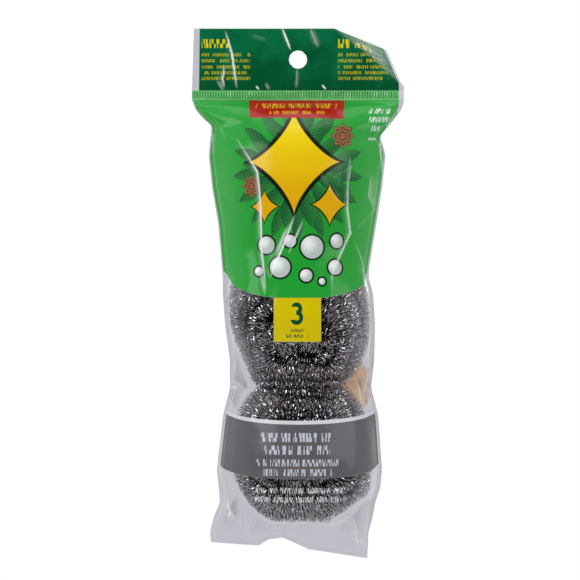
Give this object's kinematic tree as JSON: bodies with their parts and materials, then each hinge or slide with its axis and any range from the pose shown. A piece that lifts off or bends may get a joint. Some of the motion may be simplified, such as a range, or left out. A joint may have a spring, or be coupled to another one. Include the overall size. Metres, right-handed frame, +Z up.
{
  "type": "pot scrubber pack",
  "caption": "Clear hang bag with a printed header, ribbed crimp seal and hang hole, holding curly steel-wire pot scrubbers stacked one above the other.",
  "frame": {"origin": "middle of the hang hole, half way between the two films", "axes": "+Z up as the pack hangs, the printed front faces -Y, +X is right seen from the front"},
  "size_m": [0.106, 0.0558, 0.2653],
  "materials": {
    "header_print": "dark green print on glossy film",
    "crimp_print": "light green print, pressed ribs",
    "clear_film": "clear film with printed panels",
    "steel_wire": "bright stainless wire"
  },
  "bodies": {
    "header": {"header_front_film": "header_print", "header_back_film": "header_print"},
    "bag": {"crimp_seal": "crimp_print", "bag_front_film": "clear_film", "bag_back_film": "clear_film"},
    "top_scrubber": {"top_scrubber_core": "steel_wire", "top_scrubber_front_strand": "steel_wire", "top_scrubber_front_shoulder_strand": "steel_wire", "top_scrubber_rim_strand": "steel_wire", "top_scrubber_back_shoulder_strand": "steel_wire", "top_scrubber_back_strand": "steel_wire"},
    "middle_scrubber": {"middle_scrubber_core": "steel_wire", "middle_scrubber_front_strand": "steel_wire", "middle_scrubber_front_shoulder_strand": "steel_wire", "middle_scrubber_rim_strand": "steel_wire", "middle_scrubber_back_shoulder_strand": "steel_wire", "middle_scrubber_back_strand": "steel_wire"},
    "bottom_scrubber": {"bottom_scrubber_core": "steel_wire", "bottom_scrubber_front_strand": "steel_wire", "bottom_scrubber_front_shoulder_strand": "steel_wire", "bottom_scrubber_rim_strand": "steel_wire", "bottom_scrubber_back_shoulder_strand": "steel_wire", "bottom_scrubber_back_strand": "steel_wire"}
  },
  "joints": [
    {"name": "bag_swing", "type": "hinge", "parent": "header", "child": "bag", "pos_m": [0, 0, -0.01545], "axis": [1, 0, 0], "range_deg": [-90, 90]},
    {"name": "top_scrubber_turn", "type": "hinge", "parent": "bag", "child": "top_scrubber", "pos_m": [0, 0, -0.0594], "axis": [0, 1, 0], "continuous": true},
    {"name": "middle_scrubber_turn", "type": "hinge", "parent": "bag", "child": "middle_scrubber", "pos_m": [0, 0, -0.1287], "axis": [0, 1, 0], "continuous": true},
    {"name": "bottom_scrubber_turn", "type": "hinge", "parent": "bag", "child": "bottom_scrubber", "pos_m": [0.002, 0, -0.198], "axis": [0, 1, 0], "continuous": true}
  ]
}
